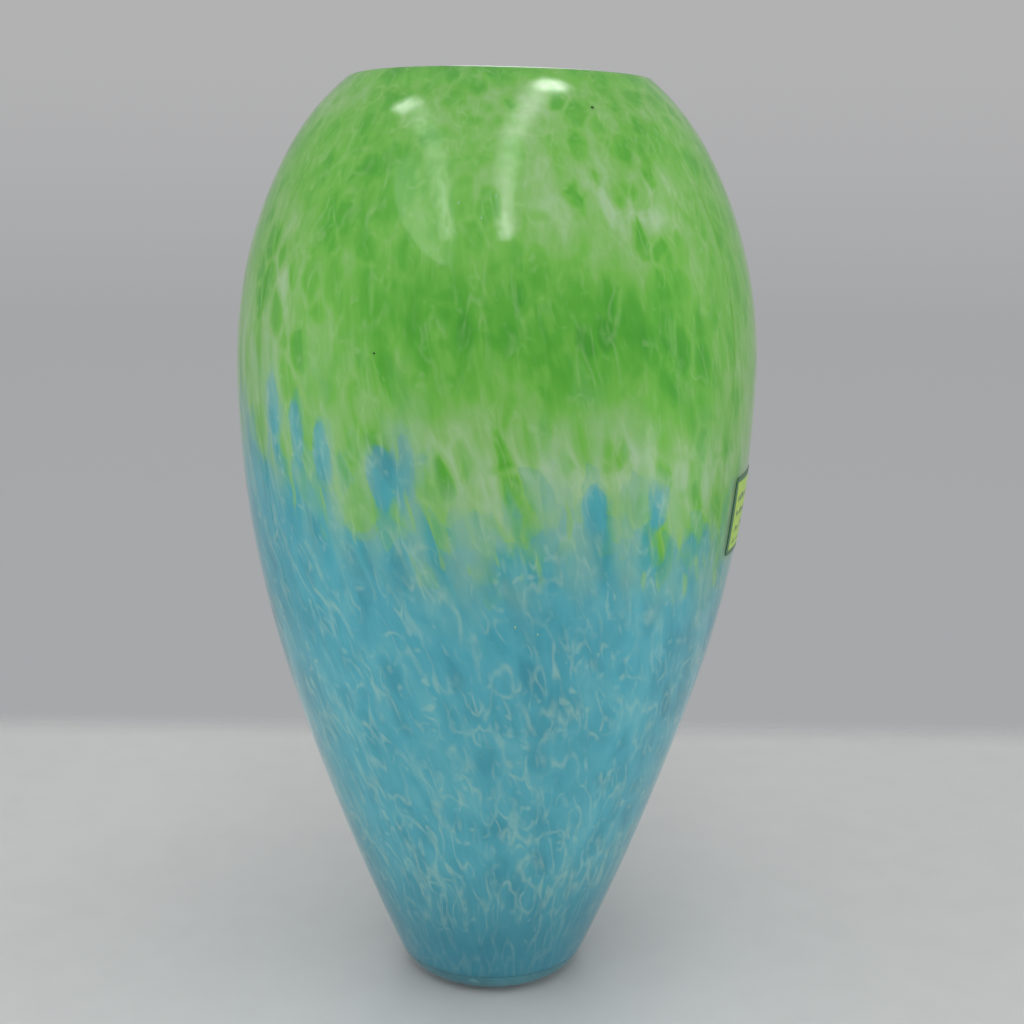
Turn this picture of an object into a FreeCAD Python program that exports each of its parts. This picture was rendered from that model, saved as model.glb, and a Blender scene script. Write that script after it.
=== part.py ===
"""A hand blown, cased art glass vase, built layer by layer.

Every layer of the wall is its own solid: an inner lining, a band of green and a band of blue
colour glass, and a clear casing that also rolls over the lip. A thick button of tinted glass
closes the bottom, and a small paper label is stuck on one side.

Millimetres. The origin is the middle of the foot, +Z is up, and the front of the vase faces -Y.
The wall's outline is a chain of tangent arcs: heel, lower wall, belly, upper wall and shoulder.
Each layer repeats that chain at its own depth below the outer surface.
"""
import FreeCAD, Part
import math
import os

import Sketcher

vector = FreeCAD.Vector
START, END, CENTRE = 1, 2, 3
H_AXIS, V_AXIS = -1, -2
ORIGIN_POINT = (-1, 1)

FULL_TURN = 360
HALF_TURN = 180
UP = 90
DOWN = -90

DRIVING_SIZES = [
    ("height", 300.0, "foot to the top of the lip"),
    ("belly_radius", 83.8, "widest radius"),
    ("belly_level", 209.0, "height of the widest ring"),
    ("belly_arc", 352.0, "radius of the arc just below the widest ring"),
    ("belly_span", 16.4, "degrees that the belly arc turns through"),
    ("lower_arc", 880.0, "radius of the long, nearly straight lower wall"),
    ("heel_arc", 11.0, "radius that turns the lower wall into the foot"),
    ("upper_arc", 141.0, "radius of the arc just above the widest ring"),
    ("upper_span", 29.6, "degrees that the upper arc turns through"),
    ("cap_span", 19.4, "degrees of shoulder that the inner layers reach"),
    ("casing_thickness", 2.2, "clear glass outside the colour"),
    ("colour_thickness", 0.8, "green and blue colour glass"),
    ("lining_thickness", 1.0, "whitish glass inside the colour"),
    ("colour_change_angle", 6.0, "degrees below the widest ring where green meets blue"),
    ("button_height", 8.0, "foot to the top of the glass button"),
    ("casing_floor", 11.0, "height of the clear glass floor"),
    ("inner_heel", 14.0, "radius inside the bottom corner, on the casing"),
    ("recess_radius", 15.0, "ground hollow under the foot"),
    ("recess_depth", 1.2, "depth of that hollow"),
    ("label_thickness", 0.2, "paper label"),
    ("label_angle", 6.95, "degrees below the widest ring, to the label's middle"),
    ("label_span", 4.15, "degrees of belly arc that the label covers, top to bottom"),
    ("label_sweep", 24.0, "degrees that the label covers around the vase"),
    ("label_corner", 2.0, "radius of the label's corners"),
    ("label_turn", -13.0, "degrees from +X to the label's middle"),
]


def make_sheet(doc):
    """Put the driving sizes into a spreadsheet and return them as plain numbers too."""
    sheet = doc.addObject("Spreadsheet::Sheet", "Sizes")
    sizes = {}
    for row, (name, value, note) in enumerate(DRIVING_SIZES, start=1):
        sheet.set("A%d" % row, note)
        sheet.set("B%d" % row, str(value))
        sheet.setAlias("B%d" % row, name)
        sizes[name] = value
    doc.recompute()
    return sizes


def polar(centre, radius, degrees):
    """The point at an angle on a circle in the sketch plane."""
    angle = math.radians(degrees)
    return vector(centre.x + radius * math.cos(angle), centre.y + radius * math.sin(angle), 0)


def slope(centre, point):
    """The angle in degrees from a centre to a point."""
    return math.degrees(math.atan2(point.y - centre.y, point.x - centre.x))


class WallArcs:
    """Centres, radii and end angles (degrees) of the arcs of the outer surface."""

    def __init__(self, sizes):
        self.belly_centre = vector(sizes["belly_radius"] - sizes["belly_arc"], sizes["belly_level"], 0)
        self.upper_centre = vector(sizes["belly_radius"] - sizes["upper_arc"], sizes["belly_level"], 0)
        belly_foot = polar(self.belly_centre, sizes["belly_arc"], -sizes["belly_span"])
        self.lower_centre = polar(belly_foot, -sizes["lower_arc"], -sizes["belly_span"])
        upper_top = polar(self.upper_centre, sizes["upper_arc"], sizes["upper_span"])
        self.shoulder_arc = upper_top.x / math.cos(math.radians(sizes["upper_span"]))
        self.shoulder_centre = polar(upper_top, -self.shoulder_arc, sizes["upper_span"])

    def heel(self, sizes, depth, heel_radius, level):
        """The centre of an arc that joins the lower wall, at a depth, to a level floor."""
        reach = sizes["lower_arc"] - depth - heel_radius
        rise = level + heel_radius - self.lower_centre.y
        return vector(self.lower_centre.x + math.sqrt(reach ** 2 - rise ** 2), level + heel_radius, 0)

    def lip(self, sizes, wall):
        """The centre of the lip's half circle, whose top is the height of the vase."""
        reach = self.shoulder_arc - wall / 2
        rise = sizes["height"] - wall / 2 - self.shoulder_centre.y
        return vector(math.sqrt(reach ** 2 - rise ** 2), sizes["height"] - wall / 2, 0)


class Section:
    """A sketch of a section through the wall: radius along its x, height along its y."""

    def __init__(self, body, name):
        plane = [item for item in body.Origin.OriginFeatures if item.Role == "XZ_Plane"][0]
        self.sketch = body.newObject("Sketcher::SketchObject", name)
        self.sketch.AttachmentSupport = [(plane, "")]
        self.sketch.MapMode = "FlatFace"

    def rule(self, name, *parts):
        """Add a constraint, and bind its value to the spreadsheet if it has a formula."""
        *arguments, formula = parts
        index = self.sketch.addConstraint(Sketcher.Constraint(*arguments))
        if formula:
            self.sketch.renameConstraint(index, name)
            self.sketch.setExpression("Constraints." + name, formula)

    def arc(self, centre, radius, first, last):
        """Add an arc between two angles in degrees and return its number."""
        circle = Part.Circle(centre, vector(0, 0, 1), radius)
        return self.sketch.addGeometry(
            Part.ArcOfCircle(circle, math.radians(first), math.radians(last)))

    def line(self, first, last):
        """Add a straight edge and return its number."""
        return self.sketch.addGeometry(Part.LineSegment(first, last))

    def meet(self, one, one_end, other, other_end):
        """Two edges share an end."""
        self.rule("", "Coincident", one, one_end, other, other_end, None)

    def flow(self, one, one_end, other, other_end):
        """Two edges share an end and run on without a corner."""
        self.rule("", "Tangent", one, one_end, other, other_end, None)

    def level_line(self, name, level, level_rule, reach):
        """A level edge that starts on the axis."""
        edge = self.line(vector(0, level, 0), vector(reach, level, 0))
        self.rule("", "PointOnObject", edge, START, V_AXIS, None)
        self.rule("", "Horizontal", edge, None)
        self.rule(name, "DistanceY", *ORIGIN_POINT, edge, START, level, level_rule)
        return edge

    def radial_line(self, name, outer, outer_end, inner, inner_end, degrees, degrees_rule):
        """A cut straight through the layer, from its inner arc to its outer one."""
        ends = [self.sketch.getPoint(inner, inner_end), self.sketch.getPoint(outer, outer_end)]
        edge = self.line(*ends)
        self.meet(edge, START, inner, inner_end)
        self.meet(edge, END, outer, outer_end)
        self.rule("", "PointOnObject", outer, CENTRE, edge, None)
        self.rule(name, "Angle", edge, math.radians(degrees), degrees_rule)
        return edge


def degrees_of(formula):
    """A formula in plain numbers, read as degrees."""
    return "(%s) * 1 deg" % formula


CAP_RULE = degrees_of("Sizes.upper_span + Sizes.cap_span")
CHANGE_RULE = degrees_of("0 - Sizes.colour_change_angle")


def lower_arc(section, name, sizes, arcs, depth, first, last):
    """The long lower wall, at a depth in the wall."""
    edge = section.arc(arcs.lower_centre, sizes["lower_arc"] - depth.size, first, last)
    section.rule(name + "_radius", "Radius", edge, sizes["lower_arc"] - depth.size,
                 "Sizes.lower_arc - " + depth.rule)
    return edge


def belly_arc(section, name, sizes, arcs, depth, first, last):
    """The arc below the widest ring, at a depth in the wall."""
    centre = arcs.belly_centre
    edge = section.arc(centre, sizes["belly_arc"] - depth.size, first, last)
    section.rule(name + "_radius", "Radius", edge, sizes["belly_arc"] - depth.size,
                 "Sizes.belly_arc - " + depth.rule)
    section.rule(name + "_centre_x", "DistanceX", *ORIGIN_POINT, edge, CENTRE, centre.x,
                 "Sizes.belly_radius - Sizes.belly_arc")
    section.rule(name + "_centre_y", "DistanceY", *ORIGIN_POINT, edge, CENTRE, centre.y,
                 "Sizes.belly_level")
    return edge


def upper_and_shoulder(section, name, sizes, arcs, depth, belly, shoulder_last):
    """The arcs above the widest ring, at a depth in the wall. The shoulder is part of a sphere."""
    span = sizes["upper_span"]
    upper = section.arc(arcs.upper_centre, sizes["upper_arc"] - depth.size, 0, span)
    section.rule(name + "_upper_radius", "Radius", upper, sizes["upper_arc"] - depth.size,
                 "Sizes.upper_arc - " + depth.rule)
    section.rule("", "Horizontal", upper, CENTRE, belly, CENTRE, None)
    section.flow(belly, END, upper, START)
    section.rule(name + "_upper_span", "Angle", upper, math.radians(span),
                 degrees_of("Sizes.upper_span"))
    shoulder = section.arc(arcs.shoulder_centre, arcs.shoulder_arc - depth.size, span, shoulder_last)
    section.rule("", "PointOnObject", shoulder, CENTRE, V_AXIS, None)
    section.flow(upper, END, shoulder, START)
    return shoulder


class Depth:
    """How far below the outer surface something lies, as a number and as a formula."""

    def __init__(self, sizes, *names):
        self.size = sum(sizes[name] for name in names)
        self.rule = "(%s)" % " + ".join(["0"] + ["Sizes." + name for name in names])


def inner_foot(section, name, sizes, arcs, depth, lower):
    """A level floor and a round corner, which lead into the lower wall at a depth."""
    below = depth.size - sizes["casing_thickness"]
    below_rule = "(%s - Sizes.casing_thickness)" % depth.rule
    heel_radius = sizes["inner_heel"] - below
    level = sizes["casing_floor"] + below
    centre = arcs.heel(sizes, depth.size, heel_radius, level)
    heel = section.arc(centre, heel_radius, DOWN, slope(arcs.lower_centre, centre))
    floor = section.level_line(name + "_floor", level, "Sizes.casing_floor + " + below_rule, centre.x)
    section.rule(name + "_heel_radius", "Radius", heel, heel_radius, "Sizes.inner_heel - " + below_rule)
    section.flow(floor, END, heel, START)
    section.flow(heel, END, lower, START)
    return floor


def lower_first(sizes, arcs, depth):
    """The angle where the lower wall, at a depth, starts above its round corner."""
    below = depth.size - sizes["casing_thickness"]
    centre = arcs.heel(sizes, depth.size, sizes["inner_heel"] - below, sizes["casing_floor"] + below)
    return slope(arcs.lower_centre, centre)


def deep_wall(section, name, sizes, arcs, depth, belly_last):
    """Floor, corner, lower wall and belly, at a depth. Returns the floor and the belly arc."""
    lower = lower_arc(section, name + "_lower", sizes, arcs, depth,
                      lower_first(sizes, arcs, depth), -sizes["belly_span"])
    belly = belly_arc(section, name + "_belly", sizes, arcs, depth, -sizes["belly_span"], belly_last)
    section.flow(lower, END, belly, START)
    span = sizes["belly_span"] + belly_last
    span_rule = "Sizes.belly_span"
    if belly_last:
        span_rule += " - Sizes.colour_change_angle"
    section.rule(name + "_belly_span", "Angle", belly, math.radians(span), degrees_of(span_rule))
    floor = inner_foot(section, name, sizes, arcs, depth, lower)
    return floor, belly


def axis_line(section, one_floor, other_floor):
    """The edge along the axis between two floors."""
    edge = section.line(section.sketch.getPoint(one_floor, START),
                        section.sketch.getPoint(other_floor, START))
    section.meet(edge, START, one_floor, START)
    section.meet(edge, END, other_floor, START)


def revolve(body, section, sweep_rule=None):
    """Turn a section about the vase's axis."""
    feature = body.newObject("PartDesign::Revolution", "Turned" + body.Name)
    feature.Profile = section.sketch
    feature.ReferenceAxis = (section.sketch, ["V_Axis"])
    feature.Angle = FULL_TURN
    if sweep_rule:
        feature.Midplane = True
        feature.setExpression("Angle", sweep_rule)
    section.sketch.Visibility = False
    return feature


def new_body(doc, name):
    """A body whose label names its file."""
    body = doc.addObject("PartDesign::Body", name)
    body.Label = name
    body.Placement = FreeCAD.Placement()
    return body


def cap_angle(sizes):
    """The angle on the shoulder where the inner layers end."""
    return sizes["upper_span"] + sizes["cap_span"]


def make_lining(doc, sizes, arcs):
    """The first gather: the whitish glass that holds the water."""
    body = new_body(doc, "inner_lining")
    section = Section(body, "LiningSection")
    cap = cap_angle(sizes)
    walls = []
    for name, depth in (
            ("outside", Depth(sizes, "casing_thickness", "colour_thickness")),
            ("inside", Depth(sizes, "casing_thickness", "colour_thickness", "lining_thickness"))):
        floor, belly = deep_wall(section, name, sizes, arcs, depth, 0)
        shoulder = upper_and_shoulder(section, name, sizes, arcs, depth, belly, cap)
        walls.append((floor, shoulder))
    (outer_floor, outer_shoulder), (inner_floor, inner_shoulder) = walls
    section.radial_line("cap", outer_shoulder, END, inner_shoulder, END, cap, CAP_RULE)
    axis_line(section, outer_floor, inner_floor)
    revolve(body, section)
    return body


def make_green_layer(doc, sizes, arcs):
    """Green colour glass, from the colour change up to the lip."""
    body = new_body(doc, "green_colour_layer")
    section = Section(body, "GreenSection")
    change = -sizes["colour_change_angle"]
    cap = cap_angle(sizes)
    walls = []
    for name, depth in (("outside", Depth(sizes, "casing_thickness")),
                        ("inside", Depth(sizes, "casing_thickness", "colour_thickness"))):
        belly = belly_arc(section, name + "_belly", sizes, arcs, depth, change, 0)
        shoulder = upper_and_shoulder(section, name, sizes, arcs, depth, belly, cap)
        walls.append((belly, shoulder))
    (outer_belly, outer_shoulder), (inner_belly, inner_shoulder) = walls
    section.radial_line("change", outer_belly, START, inner_belly, START, change, CHANGE_RULE)
    section.radial_line("cap", outer_shoulder, END, inner_shoulder, END, cap, CAP_RULE)
    revolve(body, section)
    return body


def make_blue_layer(doc, sizes, arcs):
    """Blue colour glass, from the floor up to the colour change."""
    body = new_body(doc, "blue_colour_layer")
    section = Section(body, "BlueSection")
    change = -sizes["colour_change_angle"]
    walls = []
    for name, depth in (("outside", Depth(sizes, "casing_thickness")),
                        ("inside", Depth(sizes, "casing_thickness", "colour_thickness"))):
        walls.append(deep_wall(section, name, sizes, arcs, depth, change))
    (outer_floor, outer_belly), (inner_floor, inner_belly) = walls
    section.radial_line("change", outer_belly, END, inner_belly, END, change, CHANGE_RULE)
    axis_line(section, outer_floor, inner_floor)
    revolve(body, section)
    return body


def make_casing(doc, sizes, arcs):
    """The last gather: clear glass over the colour, which rolls over the lip to the inside."""
    body = new_body(doc, "clear_casing")
    section = Section(body, "CasingSection")
    surface = Depth(sizes)
    under = Depth(sizes, "casing_thickness")
    wall = Depth(sizes, "casing_thickness", "colour_thickness", "lining_thickness")
    cap = cap_angle(sizes)
    lip_centre = arcs.lip(sizes, wall.size)
    rim = slope(arcs.shoulder_centre, lip_centre)

    button_top = sizes["button_height"]
    reach = sizes["lower_arc"]
    drop = arcs.lower_centre.y - button_top
    foot_angle = -math.degrees(math.asin(drop / reach))
    lower = lower_arc(section, "surface_lower", sizes, arcs, surface, foot_angle, -sizes["belly_span"])
    belly = belly_arc(section, "surface_belly", sizes, arcs, surface, -sizes["belly_span"], 0)
    section.flow(lower, END, belly, START)
    section.rule("surface_belly_span", "Angle", belly, math.radians(sizes["belly_span"]),
                 degrees_of("Sizes.belly_span"))
    shoulder = upper_and_shoulder(section, "surface", sizes, arcs, surface, belly, rim)
    bottom = section.level_line("bottom", button_top, "Sizes.button_height",
                                section.sketch.getPoint(lower, START).x)
    section.meet(bottom, END, lower, START)

    lip = section.arc(lip_centre, wall.size / 2, rim, rim + HALF_TURN)
    section.flow(shoulder, END, lip, START)
    section.rule("lip_radius", "Radius", lip, wall.size / 2, wall.rule + " / 2")
    section.rule("lip_height", "DistanceY", *ORIGIN_POINT, lip, CENTRE, lip_centre.y,
                 "Sizes.height - %s / 2" % wall.rule)

    floor, inner_belly = deep_wall(section, "under", sizes, arcs, under, 0)
    inner_shoulder = upper_and_shoulder(section, "under", sizes, arcs, under, inner_belly, cap)
    roll = section.arc(arcs.shoulder_centre, arcs.shoulder_arc - wall.size, cap, rim)
    section.meet(roll, CENTRE, shoulder, CENTRE)
    section.flow(lip, END, roll, END)
    section.radial_line("cap", inner_shoulder, END, roll, START, cap, CAP_RULE)
    axis_line(section, bottom, floor)
    revolve(body, section)
    return body


def make_button(doc, sizes, arcs):
    """The thick glass under the bubble, with a round heel and a ground, slightly hollow foot."""
    body = new_body(doc, "foot_button")
    section = Section(body, "ButtonSection")
    centre = arcs.heel(sizes, 0, sizes["heel_arc"], 0)
    heel_last = slope(arcs.lower_centre, centre)
    drop = arcs.lower_centre.y - sizes["button_height"]
    top_angle = -math.degrees(math.asin(drop / sizes["lower_arc"]))

    foot = section.line(vector(sizes["recess_radius"], 0, 0), vector(centre.x, 0, 0))
    section.rule("recess_radius", "DistanceX", *ORIGIN_POINT, foot, START, sizes["recess_radius"],
                 "Sizes.recess_radius")
    section.rule("", "PointOnObject", foot, START, H_AXIS, None)
    section.rule("", "Horizontal", foot, None)
    heel = section.arc(centre, sizes["heel_arc"], DOWN, heel_last)
    section.rule("heel_radius", "Radius", heel, sizes["heel_arc"], "Sizes.heel_arc")
    section.flow(foot, END, heel, START)

    lower = lower_arc(section, "lower", sizes, arcs, Depth(sizes), heel_last, top_angle)
    section.rule("lower_centre_x", "DistanceX", *ORIGIN_POINT, lower, CENTRE, arcs.lower_centre.x,
                 "Sizes.belly_radius - Sizes.belly_arc"
                 " + (Sizes.belly_arc - Sizes.lower_arc) * cos(Sizes.belly_span * 1 deg)")
    section.rule("lower_centre_y", "DistanceY", *ORIGIN_POINT, lower, CENTRE, arcs.lower_centre.y,
                 "Sizes.belly_level"
                 " - (Sizes.belly_arc - Sizes.lower_arc) * sin(Sizes.belly_span * 1 deg)")
    section.flow(heel, END, lower, START)
    top = section.level_line("top", sizes["button_height"], "Sizes.button_height",
                             section.sketch.getPoint(lower, END).x)
    section.meet(top, END, lower, END)

    dish_arc = (sizes["recess_radius"] ** 2 + sizes["recess_depth"] ** 2) / (2 * sizes["recess_depth"])
    dish_centre = vector(0, sizes["recess_depth"] - dish_arc, 0)
    dish_first = slope(dish_centre, vector(sizes["recess_radius"], 0, 0))
    dish = section.arc(dish_centre, dish_arc, dish_first, UP)
    section.meet(dish, START, foot, START)
    section.rule("", "PointOnObject", dish, CENTRE, V_AXIS, None)
    section.rule("", "PointOnObject", dish, END, V_AXIS, None)
    section.rule("recess_depth", "DistanceY", *ORIGIN_POINT, dish, END, sizes["recess_depth"],
                 "Sizes.recess_depth")
    middle = section.line(vector(0, sizes["recess_depth"], 0), vector(0, sizes["button_height"], 0))
    section.meet(middle, START, dish, END)
    section.meet(middle, END, top, START)
    revolve(body, section)
    return body


def make_label(doc, sizes, arcs):
    """A small paper label on the lower belly, at the right of the front."""
    body = new_body(doc, "paper_label")
    section = Section(body, "LabelSection")
    middle = -sizes["label_angle"]
    half = sizes["label_span"] / 2
    surface = Depth(sizes)
    proud = Depth(sizes)
    proud.size = -sizes["label_thickness"]
    proud.rule = "(0 - Sizes.label_thickness)"
    face = belly_arc(section, "face", sizes, arcs, proud, middle - half, middle + half)
    back = belly_arc(section, "back", sizes, arcs, surface, middle - half, middle + half)
    for name, end, angle, sign in (("bottom", START, middle - half, "-"), ("top", END, middle + half, "+")):
        formula = degrees_of("0 - Sizes.label_angle %s Sizes.label_span / 2" % sign)
        section.radial_line(name, face, end, back, end, angle, formula)
    turned = revolve(body, section, degrees_of("Sizes.label_sweep"))
    doc.recompute()
    # The only edges this short are the four that run through the label's thickness.
    short = 2 * sizes["label_thickness"]
    corners = ["Edge%d" % number for number, edge in enumerate(turned.Shape.Edges, start=1)
               if edge.Length < short]
    fillet = body.newObject("PartDesign::Fillet", "LabelCorners")
    fillet.Base = (turned, corners)
    fillet.setExpression("Radius", "Sizes.label_corner")
    body.Placement = FreeCAD.Placement(
        vector(0, 0, 0), FreeCAD.Rotation(vector(0, 0, 1), sizes["label_turn"]))
    return body


def check_and_write(doc, bodies):
    """Stop on any failed object, then write one file for each piece."""
    doc.recompute()
    for item in doc.Objects:
        if "Invalid" in item.State or "Error" in item.State:
            raise RuntimeError("%s failed: %s" % (item.Name, item.State))
        if item.TypeId == "Sketcher::SketchObject" and not item.FullyConstrained:
            raise RuntimeError("%s isn't fully constrained" % item.Name)
    for body in bodies:
        shape = body.Shape
        if shape.isNull() or not shape.isValid() or len(shape.Solids) != 1:
            raise RuntimeError("%s isn't one valid solid" % body.Label)
    os.makedirs("parts", exist_ok=True)
    for body in bodies:
        body.Shape.exportStep("parts/%s.step" % body.Label)
        box = body.Shape.optimalBoundingBox(False)
        print("%-20s volume %9.0f  z %7.2f to %7.2f  radius %6.2f"
              % (body.Label, body.Shape.Volume, box.ZMin, box.ZMax, box.XMax))


def main():
    doc = FreeCAD.newDocument("Vase")
    sizes = make_sheet(doc)
    arcs = WallArcs(sizes)
    makers = [make_lining, make_green_layer, make_blue_layer, make_casing, make_button, make_label]
    bodies = [make(doc, sizes, arcs) for make in makers]
    check_and_write(doc, bodies)


main()
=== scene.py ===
"""A hand blown, cased art glass vase on a pale sweep, in soft studio light.

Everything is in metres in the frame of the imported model: the origin is the middle of the foot, +Z is
up and the front faces -Y. Each layer of glass is a turned mesh built from the same tangent arcs as
the solid it stands for, with the slight unevenness of hand work.
"""
import bmesh
import bpy

from math import asin, atan2, ceil, cos, exp, hypot, pi, radians, sin, sqrt
from mathutils import Color, Matrix, Vector, noise


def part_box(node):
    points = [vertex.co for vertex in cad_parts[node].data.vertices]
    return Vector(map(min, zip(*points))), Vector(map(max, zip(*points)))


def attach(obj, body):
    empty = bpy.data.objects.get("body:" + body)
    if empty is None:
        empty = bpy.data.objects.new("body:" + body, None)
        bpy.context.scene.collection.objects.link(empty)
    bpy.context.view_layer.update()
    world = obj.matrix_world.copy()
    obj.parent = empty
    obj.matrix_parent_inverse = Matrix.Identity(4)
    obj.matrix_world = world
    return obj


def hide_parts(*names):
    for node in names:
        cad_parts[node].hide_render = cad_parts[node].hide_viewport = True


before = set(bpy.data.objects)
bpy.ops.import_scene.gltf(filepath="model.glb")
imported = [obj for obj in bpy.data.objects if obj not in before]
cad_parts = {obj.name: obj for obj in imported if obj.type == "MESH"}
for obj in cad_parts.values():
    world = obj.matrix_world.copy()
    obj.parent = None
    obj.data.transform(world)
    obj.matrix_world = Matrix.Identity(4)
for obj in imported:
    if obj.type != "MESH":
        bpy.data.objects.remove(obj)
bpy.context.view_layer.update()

# ---- sizes, in metres and degrees

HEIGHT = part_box("clear_casing")[1][2]
BELLY_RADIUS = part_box("clear_casing")[1][0]
BELLY_LEVEL = 0.209
BELLY_ARC = 0.352
BELLY_SPAN = radians(16.4)
LOWER_ARC = 0.880
UPPER_ARC = 0.141
UPPER_SPAN = radians(29.6)
CAP_SPAN = radians(19.4)
HEEL_ARC = 0.011
CASING = 0.0022
COLOUR = 0.0008
LINING = 0.0010
WALL = CASING + COLOUR + LINING
COLOUR_CHANGE = radians(6.0)
BUTTON_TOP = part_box("foot_button")[1][2]
CASING_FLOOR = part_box("blue_colour_layer")[0][2]
INNER_HEEL = 0.014
RECESS_RADIUS = 0.015
RECESS_DEPTH = 0.0012

TUCK = 0.00015  # how far a hidden face passes behind the face that shows
STEPS_ROUND = 256  # columns of a turned mesh
ARC_STEP = 0.0022  # longest step along an arc, and its widest turn
ARC_TURN = radians(1.0)
FLOOR_STEPS = 6  # rings of a level inner floor, and of a level outer face under the glass
BASE_STEPS = 8
ON_AXIS = 1e-6  # a point nearer to the axis than this is on it
SHARP_ANGLE = radians(40)


# ---- the turned outline

def arc_points(centre, radius, first, last):
    """Points along an arc, close enough together to look smooth."""
    turn = last - first
    count = max(2, ceil(abs(turn) / ARC_TURN), ceil(abs(turn) * radius / ARC_STEP))
    return [Vector((centre.x + radius * cos(first + turn * i / count),
                    centre.y + radius * sin(first + turn * i / count)))
            for i in range(count + 1)]


def level_points(radius, level, count):
    """Points from the axis out along a level face, short of its edge."""
    return [Vector((radius * i / count, level)) for i in range(count)]


def smooth(part):
    """Rises softly from 0 to 1 as the part does."""
    return (3 - 2 * part) * part ** 2


class Arcs:
    """Centres of the arcs of the outer surface: x is the radius and y the height."""
    belly = Vector((BELLY_RADIUS - BELLY_ARC, BELLY_LEVEL))
    upper = Vector((BELLY_RADIUS - UPPER_ARC, BELLY_LEVEL))
    lower = belly + (BELLY_ARC - LOWER_ARC) * Vector((cos(BELLY_SPAN), -sin(BELLY_SPAN)))
    upper_end = upper + UPPER_ARC * Vector((cos(UPPER_SPAN), sin(UPPER_SPAN)))
    shoulder_radius = upper_end.x / cos(UPPER_SPAN)
    shoulder = Vector((0, upper_end.y - shoulder_radius * sin(UPPER_SPAN)))
    lip = Vector((sqrt((shoulder_radius - WALL / 2) ** 2 - (HEIGHT - WALL / 2 - shoulder.y) ** 2),
                  HEIGHT - WALL / 2))
    rim = atan2(lip.y - shoulder.y, lip.x - shoulder.x)


def heel_centre(depth, heel, level):
    """The centre of the round corner between the lower wall, at a depth, and a level floor."""
    reach = LOWER_ARC - depth - heel
    rise = level + heel - Arcs.lower.y
    return Vector((Arcs.lower.x + sqrt(reach ** 2 - rise ** 2), level + heel))


def slope(centre, point):
    return atan2(point.y - centre.y, point.x - centre.x)


def lower_wall(depth, first, last=-BELLY_SPAN):
    return arc_points(Arcs.lower, LOWER_ARC - depth, first, last)


def belly_wall(depth, first=-BELLY_SPAN, last=0.0):
    return arc_points(Arcs.belly, BELLY_ARC - depth, first, last)


def upper_wall(depth, shoulder_last):
    return (arc_points(Arcs.upper, UPPER_ARC - depth, 0.0, UPPER_SPAN)[1:]
            + arc_points(Arcs.shoulder, Arcs.shoulder_radius - depth, UPPER_SPAN, shoulder_last)[1:])


def inner_foot(depth):
    """Floor and round corner at a depth in the wall, and where the lower wall starts."""
    below = depth - CASING
    heel = INNER_HEEL - below
    level = CASING_FLOOR + below
    centre = heel_centre(depth, heel, level)
    start = slope(Arcs.lower, centre)
    floor = level_points(centre.x, level, FLOOR_STEPS)
    return floor + arc_points(centre, heel, -pi / 2, start), start


def full_wall(depth, top):
    """From the axis, over the floor and up the wall to an angle on the shoulder."""
    foot, start = inner_foot(depth)
    return foot + lower_wall(depth, start)[1:] + belly_wall(depth)[1:] + upper_wall(depth, top)


def radius_at(height):
    """The radius of the outer surface at a height."""
    if height < Arcs.belly.y - BELLY_ARC * sin(BELLY_SPAN):
        centre, reach = Arcs.lower, LOWER_ARC
    elif height < BELLY_LEVEL:
        centre, reach = Arcs.belly, BELLY_ARC
    elif height < Arcs.upper_end.y:
        centre, reach = Arcs.upper, UPPER_ARC
    else:
        centre, reach = Arcs.shoulder, Arcs.shoulder_radius
    return centre.x + sqrt(reach ** 2 - (height - centre.y) ** 2)


# ---- hand work: unevenness and colour

WOBBLE = 0.00032  # unevenness of the blown surface, and its usual wavelength
WOBBLE_WAVE = 0.040
DIMPLE = 0.000035  # a finer ripple, which only shows in the reflections
DIMPLE_WAVE = 0.012
FOOT_SETTLES = 0.030  # height over which the ripple grows from nothing
LIP_LEAN = 0.012  # slope of the lip, higher at the left
LIP_DIP = 0.0013  # how far the lip dips at an azimuth, and over what part of its circle
LIP_DIP_AZIMUTH = -90
LIP_DIP_WIDTH = 0.70
LEAN_POWER = 6

# Broad patches of the green glass, one of them partly a painted highlight: azimuth from the front towards
# +X in degrees, height, half width and half height in metres, and how pale (above 0) or deep (below 0)
# the patch is.
GREEN_PATCHES = [
    (1, 0.229, 0.022, 0.016, -0.9),
    (24, 0.223, 0.024, 0.014, -0.9),
    (46, 0.221, 0.016, 0.020, -0.5),
    (-15, 0.232, 0.014, 0.012, -0.5),
    (-33, 0.266, 0.020, 0.020, -0.6),
    # partly the glass's own paler tone and partly a painted highlight, where the right light's streak
    # runs down
    (8, 0.258, 0.026, 0.015, 0.8),
    (38, 0.259, 0.020, 0.016, 1.3),
    (-51, 0.237, 0.016, 0.022, 0.7),
    (10, 0.188, 0.036, 0.015, 0.85),
    (45, 0.185, 0.030, 0.016, 0.75),
    (-22, 0.196, 0.022, 0.014, 0.5),
    (-110, 0.235, 0.030, 0.020, -0.8),
    (-150, 0.205, 0.034, 0.016, 0.8),
    (170, 0.240, 0.030, 0.022, -0.8),
    (110, 0.250, 0.026, 0.020, 0.6),
    (90, 0.205, 0.030, 0.016, 0.6),
    (125, 0.215, 0.022, 0.016, -0.5),
]
TONE_NOISE = 0.45  # how much the tone varies between the patches
TONE_WAVE = 0.030
TONE_STRETCH = 0.7  # below 1 its patches are taller than they are wide
LIP_TONE = 0.25  # the green is deep in the thick lip
LIP_TONE_FROM = 0.2945
LIP_TONE_RISE = 0.0020
PAINTED_RIM_LIGHT = 0.35  # and a painted band of light just under it, where the light from above falls
PAINTED_RIM_LIGHT_LEVEL = 0.288
PAINTED_RIM_LIGHT_SPREAD = 0.006

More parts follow.
